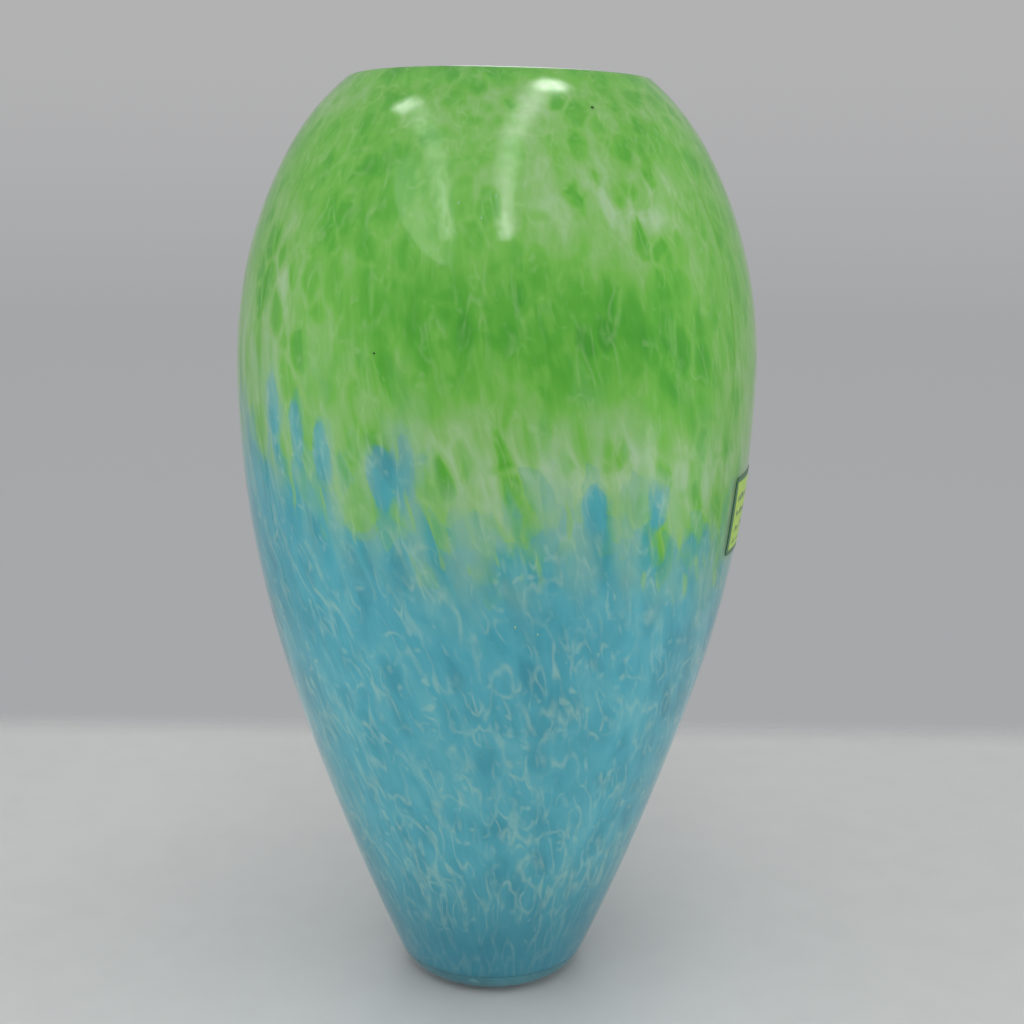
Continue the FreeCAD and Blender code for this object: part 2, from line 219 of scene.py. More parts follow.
# How high the blue glass climbs: azimuth in degrees, half width in degrees and rise in metres.
CHANGE_LEVEL = 0.170
CHANGE_BUMPS = [
    (-66, 26, 0.030),
    (-26, 14, 0.010),
    (16, 11, 0.007),
    (58, 18, -0.010),
    (150, 30, 0.016),
    (-140, 25, -0.012),
]
# Single large chips across the edge: azimuth, height, half width and half height in metres, and
# +1 for a green one or -1 for a blue one.
EDGE_CHIPS = [
    (-52, 0.203, 0.0040, 0.012, -1),
    (-44, 0.199, 0.0035, 0.011, -1),
    (-37, 0.192, 0.0040, 0.010, -1),
    (-23, 0.187, 0.0045, 0.010, -1),
    (-18, 0.190, 0.0035, 0.011, -1),
    (-12.5, 0.192, 0.0025, 0.007, -1),
    (21, 0.178, 0.0040, 0.008, -1),
    (36, 0.179, 0.0040, 0.009, -1),
    (-10, 0.194, 0.0045, 0.013, 1),
    (-28, 0.176, 0.0060, 0.008, 1),
    (24, 0.190, 0.0035, 0.008, 1),
    (37, 0.191, 0.0040, 0.008, 1),
    (-58, 0.196, 0.0040, 0.010, 1),
    (98, 0.184, 0.0045, 0.011, -1),
    (122, 0.190, 0.0040, 0.012, -1),
    (-96, 0.196, 0.0045, 0.012, -1),
    (-118, 0.182, 0.0040, 0.010, -1),
    (178, 0.194, 0.0040, 0.012, -1),
]
CHIP_PUSH = 0.030  # how far such a chip, and a noise, move the edge
EDGE_NOISE = 0.006
EDGE_WAVE = 0.006


def direction(azimuth):
    """The level direction at an azimuth from the front, in degrees, towards +X."""
    angle = radians(azimuth)
    return Vector((sin(angle), -cos(angle), 0))


def bump(square):
    """A soft hill of height 1."""
    return exp(-square)


def patch_square(way, height, azimuth, level, wide, tall):
    """The square of the distance from a patch's middle, counted in its half sizes."""
    across = (way - direction(azimuth)).length * BELLY_RADIUS / wide
    return across ** 2 + ((height - level) / tall) ** 2


def uneven(point):
    """Where a point of the perfect turned form really lies: a slight ripple and a leaning lip."""
    around = Vector((point.x, point.y, 0))
    radius = around.length
    if radius < ON_AXIS:
        return point
    way = around / radius
    place = way * (BELLY_RADIUS / WOBBLE_WAVE)
    place.z = point.z / WOBBLE_WAVE
    rise = min(1.0, point.z / FOOT_SETTLES)
    swell = WOBBLE * noise.noise(place) * rise * radius / BELLY_RADIUS
    swell += DIMPLE * noise.noise(place * (WOBBLE_WAVE / DIMPLE_WAVE)) * rise
    dip = LIP_DIP * bump(((way - direction(LIP_DIP_AZIMUTH)).length / LIP_DIP_WIDTH) ** 2)
    lean = -(LIP_LEAN * point.x + dip) * (point.z / HEIGHT) ** LEAN_POWER
    return Vector((point.x + way.x * swell, point.y + way.y * swell, point.z + lean))


def tone_at(point):
    """How pale (above 0) or deep (below 0) the glass is at a point, with painted light in a band under
    the lip and in one patch.
    """
    way = Vector((point.x, point.y, 0)).normalized()
    tone = TONE_NOISE * noise.noise(Vector((point.x, point.y, point.z * TONE_STRETCH)) / TONE_WAVE)
    tone -= LIP_TONE * min(1.0, max(0.0, (point.z - LIP_TONE_FROM) / LIP_TONE_RISE))
    # painted light: a pale band just under the lip
    tone += PAINTED_RIM_LIGHT * bump(((point.z - PAINTED_RIM_LIGHT_LEVEL) / PAINTED_RIM_LIGHT_SPREAD) ** 2)
    for *patch, amount in GREEN_PATCHES:
        tone += amount * bump(patch_square(way, point.z, *patch))
    return tone


def above_change_at(point):
    """How far a point is above the middle of the ragged edge between green and blue."""
    way = Vector((point.x, point.y, 0)).normalized()
    level = CHANGE_LEVEL
    for azimuth, wide, rise in CHANGE_BUMPS:
        level += rise * bump(((way - direction(azimuth)).length / radians(wide)) ** 2)
    above = point.z - level + EDGE_NOISE * noise.noise(point / EDGE_WAVE)
    for *chip, side in EDGE_CHIPS:
        above += side * CHIP_PUSH * bump(patch_square(way, point.z, *chip) ** 2)
    return above


def along_at(point):
    """How far up the wall a point is: its height below the widest ring, and along the arcs above."""
    if point.z < BELLY_LEVEL:
        return point.z
    station = Vector((hypot(point.x, point.y), point.z))
    angle = slope(Arcs.upper, station)
    if angle < UPPER_SPAN:
        return BELLY_LEVEL + UPPER_ARC * angle
    return (BELLY_LEVEL + UPPER_ARC * UPPER_SPAN
            + Arcs.shoulder_radius * (slope(Arcs.shoulder, station) - UPPER_SPAN))


# ---- meshes

def smooth_shaded(mesh):
    mesh.shade_smooth()
    mesh.set_sharp_from_angle(angle=SHARP_ANGLE)


def facing_out(mesh):
    """Makes every face's normal point out of the solid."""
    work = bmesh.new()
    work.from_mesh(mesh)
    bmesh.ops.recalc_face_normals(work, faces=work.faces)
    work.to_mesh(mesh)
    work.free()


def turned_mesh(name, outline, closed=False):
    """Turns an outline about Z. Its ends lie on the axis, or it closes on itself."""
    vertices = []
    rows = []
    for station in outline:
        if station.x < ON_AXIS:
            rows.append([len(vertices)] * STEPS_ROUND)
            vertices.append(Vector((0, 0, station.y)))
            continue
        rows.append(list(range(len(vertices), len(vertices) + STEPS_ROUND)))
        for step in range(STEPS_ROUND):
            angle = 2 * pi * step / STEPS_ROUND
            vertices.append(uneven(Vector(
                (station.x * cos(angle), station.x * sin(angle), station.y))))
    if closed:
        rows.append(rows[0])
    faces = []
    for below, above in zip(rows, rows[1:]):
        for step in range(STEPS_ROUND):
            turn = (step + 1) % STEPS_ROUND
            ring = [below[step], below[turn], above[turn], above[step]]
            faces.append([corner for place, corner in enumerate(ring) if corner != ring[place - 1]])
    mesh = bpy.data.meshes.new(name)
    mesh.from_pydata([tuple(vertex) for vertex in vertices], [], faces)
    mesh.update()
    smooth_shaded(mesh)
    facing_out(mesh)
    return mesh


def new_object(name, data):
    """A new object in the scene."""
    thing = bpy.data.objects.new(name, data)
    bpy.context.scene.collection.objects.link(thing)
    return thing


def add_piece(name, mesh, material, slot, *nodes):
    """Puts a mesh in the scene as a piece that rides on the vase."""
    piece = new_object(name, mesh)
    mesh.materials.append(material)
    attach(piece, "root")
    if nodes:
        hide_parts(*nodes)


def store(mesh, name, values):
    """Keeps a number for each vertex, for the material to read."""
    mesh.attributes.new(name, "FLOAT", "POINT").data.foreach_set("value", values)


CAP = UPPER_SPAN + CAP_SPAN
FOOT_SKIN = -0.0003  # the blue glass dips a little into the foot
GATHER_HEEL = 0.0008  # round corner of the blue glass in the foot
FOOT_CLEAR = 0.0004  # clear glass over the colour at the foot
FOOT_SWELL = 0.012  # height over which the colour swells out to the foot
LIP_SKIN = 0.0005  # clear glass over the colour at the lip
LIP_FLARE = 0.0070  # length over which the colour swells out to the lip
LIP_ROLL = radians(150)
FLARE_STEPS = 8
CAP_TUCK = TUCK / Arcs.shoulder_radius


def casing_outline():
    bottom = BUTTON_TOP - TUCK
    first = -asin((Arcs.lower.y - bottom) / LOWER_ARC)
    outer = lower_wall(0, first) + belly_wall(0)[1:] + upper_wall(0, Arcs.rim)
    base = level_points(outer[0].x, bottom, BASE_STEPS)
    lip = arc_points(Arcs.lip, WALL / 2, Arcs.rim, Arcs.rim + pi)[1:]
    roll = arc_points(Arcs.shoulder, Arcs.shoulder_radius - WALL, Arcs.rim, CAP - CAP_TUCK)[1:]
    depth = CASING + TUCK
    hidden = blue_foot(depth) + belly_wall(depth)[1:] + upper_wall(depth, CAP - CAP_TUCK)
    return base + outer + lip + roll + hidden[::-1]


def lip_flare():
    """The outer face of the colour where it swells out to the lip and rolls over it."""
    first = Arcs.rim - LIP_FLARE / Arcs.shoulder_radius
    points = []
    for step in range(1, FLARE_STEPS):
        part = step / FLARE_STEPS
        reach = Arcs.shoulder_radius - CASING - (LIP_SKIN - CASING) * smooth(part)
        angle = first + (Arcs.rim - first) * part
        points.append(Arcs.shoulder + reach * Vector((cos(angle), sin(angle))))
    roll = arc_points(Arcs.lip, WALL / 2 - LIP_SKIN, Arcs.rim, Arcs.rim + LIP_ROLL)
    return first, points + roll


def green_outline():
    first, flare = lip_flare()
    outer = belly_wall(CASING, -COLOUR_CHANGE) + upper_wall(CASING, first) + flare
    inner = belly_wall(CASING + COLOUR, -COLOUR_CHANGE) + upper_wall(CASING + COLOUR, CAP)
    return outer + inner[::-1]


def blue_foot(depth):
    """The outer face of the blue glass up to the belly. It gathers thick in the foot and swells out."""
    below = depth - CASING
    skin = FOOT_CLEAR + below
    level = BUTTON_TOP + FOOT_SKIN + below
    heel = GATHER_HEEL - below
    centre = heel_centre(skin, heel, level)
    start = slope(Arcs.lower, centre)
    floor = level_points(centre.x, level, FLOOR_STEPS)
    corner = arc_points(centre, heel, -pi / 2, start)
    wall = []
    for point in lower_wall(0, start)[1:]:
        part = min(1.0, (point.y - corner[-1].y) / FOOT_SWELL)
        inward = skin + (depth - skin) * smooth(part)
        wall.append(Arcs.lower + (point - Arcs.lower) * ((LOWER_ARC - inward) / LOWER_ARC))
    return floor + corner + wall


def blue_outline():
    outer = blue_foot(CASING) + belly_wall(CASING, last=-COLOUR_CHANGE)[1:]
    foot, start = inner_foot(CASING + COLOUR)
    inner = (foot + lower_wall(CASING + COLOUR, start)[1:]
             + belly_wall(CASING + COLOUR, last=-COLOUR_CHANGE)[1:])
    return outer + inner[::-1]


def lining_outline():
    return full_wall(CASING + COLOUR, CAP) + full_wall(WALL, CAP)[::-1]


def foot_outline():
    centre = heel_centre(0, HEEL_ARC, 0)
    start = slope(Arcs.lower, centre)
    last = -asin((Arcs.lower.y - BUTTON_TOP) / LOWER_ARC)
    side = arc_points(centre, HEEL_ARC, -pi / 2, start) + lower_wall(0, start, last)[1:]
    dish_radius = (RECESS_RADIUS ** 2 + RECESS_DEPTH ** 2) / (2 * RECESS_DEPTH)
    dish_centre = Vector((0, RECESS_DEPTH - dish_radius))
    edge = slope(dish_centre, Vector((RECESS_RADIUS, 0)))
    dish = arc_points(dish_centre, dish_radius, pi / 2, edge)
    return dish + side + level_points(side[-1].x, BUTTON_TOP, BASE_STEPS)[::-1]


LABEL_THICKNESS = 0.0002
LABEL_CORNER = 0.0020
LABEL_TURN = radians(-13)  # middle of the label, from +X towards -Y
LABEL_SWEEP = radians(24)
LABEL_ANGLE = radians(6.95)  # middle of the label on the belly arc
LABEL_SPAN = radians(4.15)
LABEL_STEPS = 40


def label_point(across, down, depth):
    """A point of the label: across and down run from -1 to 1 and depth is into the glass."""
    angle = LABEL_ANGLE + down * LABEL_SPAN / 2
    reach = BELLY_ARC - depth
    station = Arcs.belly + reach * Vector((cos(angle), -sin(angle)))
    turn = LABEL_TURN + across * LABEL_SWEEP / 2
    return uneven(Vector((station.x * cos(turn), station.x * sin(turn), station.y)))


def label_places():
    """Places on the label, row by row, with the rows drawn in at its round corners."""
    half_height = BELLY_ARC * LABEL_SPAN / 2
    half_width = BELLY_RADIUS * LABEL_SWEEP / 2
    places = []
    for row in range(LABEL_STEPS + 1):
        down = -cos(pi * row / LABEL_STEPS)
        into_corner = max(0.0, LABEL_CORNER - half_height * (1 - abs(down)))
        cut = LABEL_CORNER - sqrt(LABEL_CORNER ** 2 - into_corner ** 2)
        reach = 1 - cut / half_width
        for column in range(LABEL_STEPS + 1):
            places.append((reach * (2 * column / LABEL_STEPS - 1), down))
    return places


def label_mesh():
    """A thin sheet curved to the glass: its face, its back just inside the glass, and its edge."""
    places = label_places()
    vertices = [tuple(label_point(across, down, depth))
                for depth in (-LABEL_THICKNESS, TUCK) for across, down in places]
    width = LABEL_STEPS + 1
    sheet = len(places)
    faces = []
    for row in range(LABEL_STEPS):
        for column in range(LABEL_STEPS):
            corner = row * width + column
            square = (corner, corner + 1, corner + width + 1, corner + width)
            faces.append(square)
            faces.append(tuple(sheet + place for place in reversed(square)))
    edge = (list(range(width))
            + [row * width + width - 1 for row in range(1, LABEL_STEPS + 1)]
            + [LABEL_STEPS * width + column for column in range(width - 2, -1, -1)]
            + [row * width for row in range(LABEL_STEPS - 1, 0, -1)])
    for place, corner in enumerate(edge):
        before = edge[place - 1]
        faces.append((before, corner, sheet + corner, sheet + before))
    mesh = bpy.data.meshes.new("paper_label")
    mesh.from_pydata(vertices, [], faces)
    for name, values in zip(("across", "down"), zip(*(places * 2))):
        store(mesh, name, values)
    facing_out(mesh)
    smooth_shaded(mesh)
    return mesh


BEAD_DIVISIONS = 3


def beads_mesh(name, beads):
    """Small drawn out beads: each is an azimuth in degrees, a height, a depth, a radius and a stretch."""
    work = bmesh.new()
    for azimuth, height, depth, radius, stretch in beads:
        way = direction(azimuth)
        reach = radius_at(height) - depth
        place = uneven(Vector((way.x * reach, way.y * reach, height)))
        shape = Matrix.Translation(place) @ Matrix.Diagonal((radius, radius, radius * stretch, 1))
        bmesh.ops.create_icosphere(work, subdivisions=BEAD_DIVISIONS, radius=1, matrix=shape)
    mesh = bpy.data.meshes.new(name)
    work.to_mesh(mesh)
    work.free()
    mesh.shade_smooth()
    return mesh


# ---- materials: tools

SCREEN_WHITE = 255


def shade(red, green, blue):
    """A colour written as a screen shows it, as the linear colour that the shaders take."""
    screen = Color((red, green, blue)) / SCREEN_WHITE
    return (*screen.from_srgb_to_scene_linear(), 1.0)


class Graph:
    """A material's, light's or world's nodes, added and joined by plain calls."""

    def __init__(self, owner):
        owner.use_nodes = True
        self.tree = owner.node_tree
        self.tree.nodes.clear()

    def add(self, kind, inputs=None, **settings):
        node = self.tree.nodes.new("ShaderNode" + kind)
        for name, value in settings.items():
            setattr(node, name, value)
        for name, value in (inputs or {}).items():
            self.feed(node.inputs[name], value)
        return node

    def feed(self, socket, value):
        if isinstance(value, bpy.types.NodeSocket):
            self.tree.links.new(value, socket)
        else:
            socket.default_value = value

    def math(self, operation, *values):
        node = self.add("Math", operation=operation)
        for socket, value in zip(node.inputs, values):
            self.feed(socket, value)
        return node.outputs[0]

    def plus(self, first, second):
        return self.math("ADD", first, second)

    def minus(self, first, second):
        return self.math("SUBTRACT", first, second)

    def times(self, first, *others):
        for other in others:
            first = self.math("MULTIPLY", first, other)
        return first

    def ramp(self, value, low, high, start=0.0, end=1.0):
        """Runs smoothly from start to end as the value goes from low to high."""
        spans = {"Value": value, "From Min": low, "From Max": high, "To Min": start, "To Max": end}
        return self.add("MapRange", spans, interpolation_type="SMOOTHSTEP").outputs[0]

    def away(self, value, middle):
        """How far a value is from a middle value, on either side."""
        return self.math("ABSOLUTE", self.minus(value, middle))

    def blend(self, amount, first, second):
        """A colour between two colours."""
        node = self.add("Mix", data_type="RGBA")
        for place, value in ((0, amount), (6, first), (7, second)):
            self.feed(node.inputs[place], value)
        return node.outputs[2]

    def mix(self, amount, first, second):
        """A number between two numbers."""
        node = self.add("Mix", data_type="FLOAT")
        for place, value in ((0, amount), (2, first), (3, second)):
            self.feed(node.inputs[place], value)
        return node.outputs[0]

    def colours(self, value, *stops):
        """A colour ramp: each stop is a position and a colour as a screen shows it."""
        node = self.add("ValToRGB", {"Fac": value})
        for number, (position, *colour) in enumerate(stops):
            element = (node.color_ramp.elements[number] if number < 2
                       else node.color_ramp.elements.new(position))
            element.position = position
            element.color = shade(*colour)
        return node.outputs[0]

    def split(self, vector):
        """The three parts of a vector."""
        return self.add("SeparateXYZ", {"Vector": vector}).outputs

    def join(self, parts):
        return self.add("CombineXYZ", parts).outputs[0]

    def vector(self, operation, first, second=None):
        node = self.add("VectorMath", {0: first}, operation=operation)
        if second is not None:
            self.feed(node.inputs["Scale"] if operation == "SCALE" else node.inputs[1], second)
        return node.outputs[0]

    def weighted(self, *parts):
        """The sum of fields, each counted from its middle and given a weight."""
        total = 0.0
        for field, weight in parts:
            total = self.math("MULTIPLY_ADD", field, weight, self.plus(total, -weight / 2))
        return total

    def noise(self, vector, scale, detail=2.0):
        node = self.add("TexNoise", {"Vector": vector, "Scale": scale, "Detail": detail})
        return node.outputs["Fac"]

    def attribute(self, name):
        return self.add("Attribute", attribute_name=name).outputs["Fac"]

    def place(self):
        """The place on the object, in metres."""
        return self.add("TexCoord").outputs["Object"]

    def principled(self, **inputs):
        """The usual shader. An underscore in an input's name stands for a space."""
        named = {name.replace("_", " "): value for name, value in inputs.items()}
        return self.add("BsdfPrincipled", named)

    def part_clear(self, amount, shader):
        """A shader that gives way to clear by an amount."""
        both = self.add("MixShader")
        self.feed(both.inputs[0], amount)
        self.feed(both.inputs[1], shader.outputs[0])
        self.feed(both.inputs[2], self.add("BsdfTransparent").outputs[0])
        return both

    def finish(self, shader, kind="OutputMaterial"):
        output = self.add(kind)
        self.feed(output.inputs["Surface"], shader.outputs[0])


def new_material(name):
    """A new material and its graph."""
    material = bpy.data.materials.new(name)
    return material, Graph(material)


# ---- the pattern of the coloured glass

PATTERN_FLOOR = 0.55  # the pattern is narrower near the foot, where the glass was drawn in
TWIST_TOP = 0.27  # below this height the pattern leans, as it was twisted when drawn
TWIST = radians(-34)
REACH_CHANGE = 0.025  # how far from the widest ring the pattern starts to follow the real radius
WAVE = 0.0040  # how far the pattern wanders, and its wavelength
WAVE_LENGTH = 0.018
WAVE_DETAIL = 1.5
MIDDLE = 0.5  # the middle of whatever runs from 0 to 1

# Fields of the pattern: the width and length of a patch in metres, a shift that sets each field
# apart from the others and, for all but the chips, its detail.
CHIPS = (0.0068, 0.019, 1.9)
SMALL_CHIPS = (0.0058, 0.0115, 8.4)
DROPS = (0.0072, 0.020, 0.0, 1.0)
STREAKS = (0.0018, 0.020, 7.1, 2.0)
CLOUDS = (0.022, 0.034, 5.7, 3.0)
TONGUES = (0.0062, 0.060, 2.6, 1.0)
MIST_PATCHES = (0.010, 0.030, 3.7, 2.0)
STRAND_FADES = (0.0030, 0.0050, 14.3, 2.0)
UPRIGHTS = (0.0026, 0.036, 6.6, 1.0)
POOLS = (0.0040, 0.0046, 11.3, 1.0)
POOL_PLACES = (0.016, 0.020, 12.7, 2.0)
YELLOWS = (0.0026, 0.050, 4.4, 0.0)

# Every pair below says over which values something grows from 0 to 1, and every four over which
# values it goes from one amount to another.
CHIP_DISORDER = 0.88  # 0 is an even grid of chips and 1 is pure chance
CORNER_REACH = (0.40, 0.80)
OWN_TONES = (0.0, 0.60)
OWN_TONE_REACH = (0.0, 0.24)
TONE_BETWEEN = 0.62  # tone of the glass between the chips, and how much paler its corners are
CORNER_LIFT = 0.35
TONE_SHIFT = 0.28


class Pattern:
    """The pattern of the rolled on chips, the same on every layer of coloured glass."""

    def __init__(self, graph):
        self.graph = graph
        across, deep, self.height = graph.split(graph.place())
        level = graph.join({"X": across, "Y": deep})
        radius = graph.add("VectorMath", {0: level}, operation="LENGTH").outputs["Value"]
        lean = graph.ramp(self.height, 0.0, TWIST_TOP, TWIST, 0.0)
        straight = {"Vector": graph.vector("NORMALIZE", level), "Angle": lean}
        way = graph.add("VectorRotate", straight, rotation_type="Z_AXIS").outputs[0]
        drawn = graph.ramp(self.height, 0.0, BELLY_LEVEL, PATTERN_FLOOR * BELLY_RADIUS, BELLY_RADIUS)
        turned_in = graph.ramp(self.height, BELLY_LEVEL - REACH_CHANGE, BELLY_LEVEL + REACH_CHANGE)
        around = graph.split(graph.vector("SCALE", way, graph.mix(turned_in, drawn, radius)))
        place = graph.join({"X": around["X"], "Y": around["Y"], "Z": graph.attribute("along")})
        waves = {"Vector": place, "Scale": 1 / WAVE_LENGTH, "Detail": WAVE_DETAIL}
        wave = graph.add("TexNoise", waves).outputs["Color"]
        shift = graph.vector("SCALE", graph.vector("SUBTRACT", wave, (MIDDLE, MIDDLE, MIDDLE)), WAVE)
        self.place = graph.vector("ADD", place, shift)

    def scaled(self, width, length, offset):
        """The place measured in patches of this width and length."""
        return self.graph.add("Mapping", {
            "Vector": self.place, "Location": (offset, offset, offset),
            "Scale": (1 / width, 1 / width, 1 / length)}).outputs[0]

    def cloud(self, width, length, offset, detail):
        """Soft patches, as numbers between 0 and 1."""
        return self.graph.noise(self.scaled(width, length, offset), 1.0, detail)

    def shown(self, field, reach):
        """The patches of a field, ramped over a reach of values."""
        return self.graph.ramp(self.cloud(*field), *reach)

    def chips(self, field):
        """Long chips side by side: their tone, a chance for each, and the rise to its middle."""
        graph = self.graph
        place = self.scaled(*field)
        layout = {"Vector": place, "Scale": 1.0, "Randomness": CHIP_DISORDER}
        cell = graph.add("TexVoronoi", layout).outputs
        edge = graph.add("TexVoronoi", layout, feature="DISTANCE_TO_EDGE").outputs["Distance"]
        chance = graph.add("SeparateColor", {"Color": cell["Color"]}).outputs
        rise = graph.minus(graph.split(cell["Position"])["Z"], graph.split(place)["Z"])
        corner = graph.ramp(cell["Distance"], *CORNER_REACH)
        own = graph.ramp(chance["Red"], *OWN_TONES)
        tone = graph.mix(graph.ramp(edge, *OWN_TONE_REACH), TONE_BETWEEN, own)
        tone = graph.math("MULTIPLY_ADD", corner, CORNER_LIFT, graph.minus(tone, TONE_SHIFT))
        return tone, chance["Green"], rise

    def strands(self, field, thickness):
        """Thin wavy lines that swell here and there, as trails of pale glass do."""
        away = self.graph.away(self.cloud(*field), MIDDLE)
        return self.graph.ramp(away, 0.0, thickness, 1.0, 0.0)


# The ragged edge between green and blue, in metres.
TONGUE_PUSH = 0.050
DROP_PUSH = 0.012
EDGE_SOFTNESS = 0.0035
# Chips on the wrong side of it: their share of the colour and how far they stray, for both sizes.
STRAY_CHIPS = ((0.45, 0.030), (0.30, 0.024))
STRAY_SOFTNESS = 0.003

# Weights of the fields in the tones, and how a tone is made from them.
DROP_WEIGHT = 0.40
STREAK_WEIGHT = 0.18
GREEN_CHIP_WEIGHTS = (0.18, 0.28)
GREEN_CONTRAST = 0.68  # of the chips in even glass, and how much it grows in a patch
PATCH_CONTRAST = 1.2
GREEN_MIDDLE = 0.48
PATCH_TONE = 0.25
BLUE_CHIP_WEIGHTS = (0.22, 0.13)
BLUE_CONTRAST = 1.3
BLUE_MIDDLE = 0.36
CLOUD_WEIGHT = 0.30
FOOT_DEPTH = (0.012, 0.062, 0.75, 0.0)  # heights between which the deep colour of the foot fades
TEAL_REACH = (-0.026, 0.014, 0.0, 0.58)  # the blue turns teal towards the edge

GREENS = [(0.0, 74, 164, 44), (0.16, 84, 174, 48), (0.34, 98, 184, 56), (0.52, 124, 196, 78),
          (0.72, 152, 202, 122), (0.95, 184, 214, 172)]
BLUES = [(0.0, 52, 154, 174), (0.18, 62, 163, 181), (0.40, 80, 178, 194), (0.62, 104, 190, 200),
         (0.95, 146, 210, 212)]
FOOT_BLUE = shade(36, 140, 163)
EDGE_TEAL = shade(66, 166, 140)
GREEN_LINE = shade(186, 218, 160)
BLUE_LINE = shade(186, 216, 198)
MIST = shade(176, 208, 178)
YELLOW_THREAD = shade(156, 204, 104)

# Pale mist along the edge, in metres above it.
MIST_MIDDLE = 0.004
MIST_REACH = (0.0, 0.045, 0.54, 0.0)
MIST_SHOWN = (0.34, 0.62)

# Pale strands of two sizes: their field, their thickness, the field of the places that have them and
# the values over which it shows them.
STRANDS = [((0.0052, 0.019, 9.9, 0.6), 0.078, (0.009, 0.016, 9.2, 2.0), (0.46, 0.62)),
           ((0.0044, 0.013, 15.2, 0.6), 0.070, (0.008, 0.013, 3.1, 2.0), (0.48, 0.62))]
MORE_STRANDS = (-0.15, -0.02, 0.07, 0.0)  # more of them lower down
UPRIGHTS_SHOWN = (0.58, 0.74, 0.0, 0.60)
STRAND_FADING = (0.30, 0.70, 0.45, 1.25)
POOLS_SHOWN = (0.62, 0.76)
POOLS_PLACED = (0.42, 0.58)
LINE_STRENGTH = (-0.02, 0.02, 0.40, 0.24)  # stronger in the blue than in the green
LINE_FOOT = (0.014, 0.050, 0.35, 1.0)  # and weaker in the foot

# Yellow threads, in metres above the edge.
YELLOW_SHOWN = (0.66, 0.76)
YELLOW_MIDDLE = -0.006
YELLOW_REACH = (0.006, 0.016, 0.55, 0.0)


def green_share(pattern, above, drops, layers):
    """1 where the glass is green and 0 where it is blue, with chips that strayed over the edge."""
    graph = pattern.graph
    ragged = above
    for field, push in ((pattern.cloud(*TONGUES), TONGUE_PUSH), (drops, DROP_PUSH)):
        ragged = graph.math("MULTIPLY_ADD", graph.minus(field, MIDDLE), push, ragged)
    share = graph.ramp(ragged, -EDGE_SOFTNESS, EDGE_SOFTNESS)
    for (tone, chance, rise), (width, length, offset), (part, stray) in zip(
            layers, (CHIPS, SMALL_CHIPS), STRAY_CHIPS):
        side = graph.math("MULTIPLY_ADD", rise, length, above)
        side = graph.plus(side, graph.weighted((chance, stray)))
        share = graph.mix(part, share, graph.ramp(side, -STRAY_SOFTNESS, STRAY_SOFTNESS))
    return share


def green_chips(pattern, texture, tones):
    graph = pattern.graph
    patches = graph.attribute("tone")
    chips = graph.weighted(*zip(tones, GREEN_CHIP_WEIGHTS))
    contrast = graph.math("MULTIPLY_ADD", graph.math("ABSOLUTE", patches), PATCH_CONTRAST,
                          GREEN_CONTRAST)
    tone = graph.plus(graph.math("MULTIPLY_ADD", chips, contrast, texture),
                      graph.math("MULTIPLY_ADD", patches, PATCH_TONE, GREEN_MIDDLE))
    return graph.colours(tone, *GREENS)


def blue_chips(pattern, above, texture, tones):
    graph = pattern.graph
    chips = graph.weighted(*zip(tones, BLUE_CHIP_WEIGHTS))
    clouds = graph.weighted((pattern.cloud(*CLOUDS), CLOUD_WEIGHT))
    tone = graph.plus(graph.math("MULTIPLY_ADD", chips, BLUE_CONTRAST, texture),
                      graph.plus(clouds, BLUE_MIDDLE))
    blue = graph.colours(tone, *BLUES)
    blue = graph.blend(graph.ramp(pattern.height, *FOOT_DEPTH), blue, FOOT_BLUE)
    return graph.blend(graph.ramp(above, *TEAL_REACH), blue, EDGE_TEAL)


def mist_part(pattern, above):
    """The milky glass along the edge between green and blue."""
    graph = pattern.graph
    near = graph.ramp(graph.away(above, MIST_MIDDLE), *MIST_REACH)
    return graph.times(near, pattern.shown(MIST_PATCHES, MIST_SHOWN))


def line_part(pattern, above):
    """Wavy strands, fine upright threads and small pools of pale glass."""
    graph = pattern.graph
    more = graph.ramp(above, *MORE_STRANDS)
    line = pattern.shown(UPRIGHTS, UPRIGHTS_SHOWN)
    for field, thickness, places, shown in STRANDS:
        here = graph.ramp(graph.plus(pattern.cloud(*places), more), *shown)
        strand = graph.times(pattern.strands(field, thickness), here)
        line = graph.math("MAXIMUM", line, strand)
    line = graph.times(line, pattern.shown(STRAND_FADES, STRAND_FADING))
    pools = graph.times(pattern.shown(POOLS, POOLS_SHOWN), pattern.shown(POOL_PLACES, POOLS_PLACED))
    strength = graph.times(graph.ramp(above, *LINE_STRENGTH), graph.ramp(pattern.height, *LINE_FOOT))
    return graph.times(graph.math("MAXIMUM", line, pools), strength)


def thread_part(pattern, above):
    """A few yellow threads that hang down across the edge."""
    graph = pattern.graph
    return graph.times(pattern.shown(YELLOWS, YELLOW_SHOWN),
                       graph.ramp(graph.away(above, YELLOW_MIDDLE), *YELLOW_REACH))


def glass_colour(graph):
    """The colours of the rolled on chips: green above, blue below, with pale lines between."""
    pattern = Pattern(graph)
    above = graph.attribute("above")
    drops = pattern.cloud(*DROPS)
    layers = (pattern.chips(CHIPS), pattern.chips(SMALL_CHIPS))
    tones = [tone for tone, chance, rise in layers]
    texture = graph.weighted((drops, DROP_WEIGHT), (pattern.cloud(*STREAKS), STREAK_WEIGHT))
    share = green_share(pattern, above, drops, layers)
    colour = graph.blend(share, blue_chips(pattern, above, texture, tones),
                         green_chips(pattern, texture, tones))
    colour = graph.blend(mist_part(pattern, above), colour, MIST)
    pale = graph.blend(share, BLUE_LINE, GREEN_LINE)
    colour = graph.blend(line_part(pattern, above), colour, pale)
    return graph.blend(thread_part(pattern, above), colour, YELLOW_THREAD)


# ---- finishes

CHIP_ROUGHNESS = 0.38
OPAL_MILK = 0.62  # how much of the chips' colour the milky lining hides
OPAL_WHITE = shade(214, 226, 216)
CLEAR_TINT = (0.97, 0.99, 0.98, 1.0)
GLASS_IOR = 1.5

